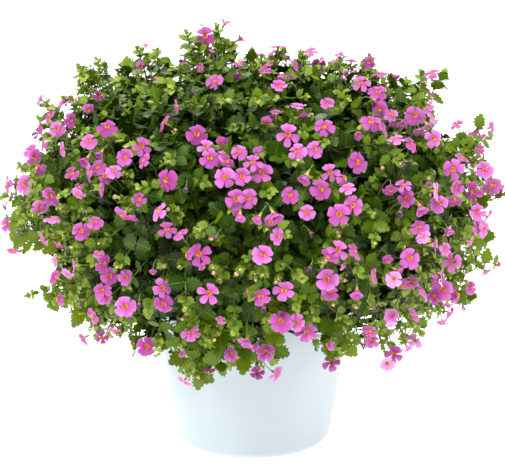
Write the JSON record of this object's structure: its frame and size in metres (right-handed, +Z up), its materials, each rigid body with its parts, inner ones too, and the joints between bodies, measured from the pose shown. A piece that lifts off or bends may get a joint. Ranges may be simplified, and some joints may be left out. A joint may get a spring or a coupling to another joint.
{
  "type": "potted bacopa",
  "caption": "Trailing bacopa in a plain round tapered tub: a rounded mound of small toothed leaves on thin stems, dotted with pink blooms, that spills over the rim.",
  "frame": {"origin": "middle of the pot's flat base, on the surface that it stands on", "axes": "+Z up along the pot's axis, through the mound; +X and +Y are level, and -Y points at whoever looks at the front"},
  "size_m": [0.424, 0.4174, 0.3381],
  "materials": {
    "pot": "satin",
    "compost": "matte",
    "leafy_stem": "satin",
    "bloom": "satin"
  },
  "bodies": {
    "root": {"pot": "pot", "compost": "compost", "leafy_stem_01": "leafy_stem", "leafy_stem_02": "leafy_stem", "leafy_stem_03": "leafy_stem", "leafy_stem_04": "leafy_stem", "leafy_stem_05": "leafy_stem", "leafy_stem_06": "leafy_stem", "leafy_stem_07": "leafy_stem", "leafy_stem_08": "leafy_stem", "leafy_stem_09": "leafy_stem", "leafy_stem_10": "leafy_stem", "leafy_stem_11": "leafy_stem", "leafy_stem_12": "leafy_stem", "leafy_stem_13": "leafy_stem", "leafy_stem_14": "leafy_stem", "leafy_stem_15": "leafy_stem", "leafy_stem_16": "leafy_stem", "leafy_stem_17": "leafy_stem", "leafy_stem_18": "leafy_stem", "leafy_stem_19": "leafy_stem", "leafy_stem_20": "leafy_stem", "leafy_stem_21": "leafy_stem", "leafy_stem_22": "leafy_stem", "leafy_stem_23": "leafy_stem", "leafy_stem_24": "leafy_stem", "leafy_stem_25": "leafy_stem", "leafy_stem_26": "leafy_stem", "leafy_stem_27": "leafy_stem", "leafy_stem_28": "leafy_stem", "leafy_stem_29": "leafy_stem", "leafy_stem_30": "leafy_stem", "leafy_stem_31": "leafy_stem", "leafy_stem_32": "leafy_stem", "leafy_stem_33": "leafy_stem", "leafy_stem_34": "leafy_stem", "leafy_stem_35": "leafy_stem", "leafy_stem_36": "leafy_stem", "leafy_stem_37": "leafy_stem"}
  },
  "joints": []
}
